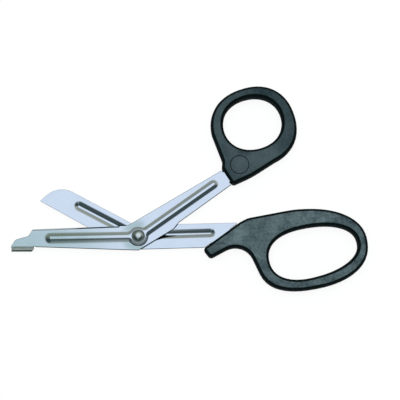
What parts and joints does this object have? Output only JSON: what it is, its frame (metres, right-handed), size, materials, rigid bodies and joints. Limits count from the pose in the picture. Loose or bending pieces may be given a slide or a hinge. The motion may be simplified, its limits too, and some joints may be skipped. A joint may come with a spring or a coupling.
{
  "type": "bandage scissors",
  "caption": "Bandage-cutting scissors: two pressed steel blades with raised ribs on a domed rivet, a blunt lower jaw with a folded foot, and moulded thumb and finger rings, shown half open.",
  "frame": {"origin": "centre of the rivet's flat tail end, on the pivot axis", "axes": "+Z along the pivot axis, out of the rivet's domed head; +X from the jaws to the handles, along the shank of the back blade; +Y towards the thumb ring"},
  "size_m": [0.1885, 0.1105, 0.0092],
  "materials": {
    "blade_steel": "satin stamped stainless steel",
    "rivet_steel": "polished steel",
    "handle_plastic": "black moulded plastic with a fine grain"
  },
  "bodies": {
    "back_half": {"back_blade": "blade_steel", "finger_handle": "handle_plastic", "pivot_rivet": "rivet_steel"},
    "front_half": {"front_blade": "blade_steel", "thumb_handle": "handle_plastic"}
  },
  "joints": [
    {"name": "blade_pivot", "type": "hinge", "parent": "back_half", "child": "front_half", "pos_m": [0, 0, 0.0036], "axis": [0, 0, 1], "range_deg": [-18, 150]}
  ]
}
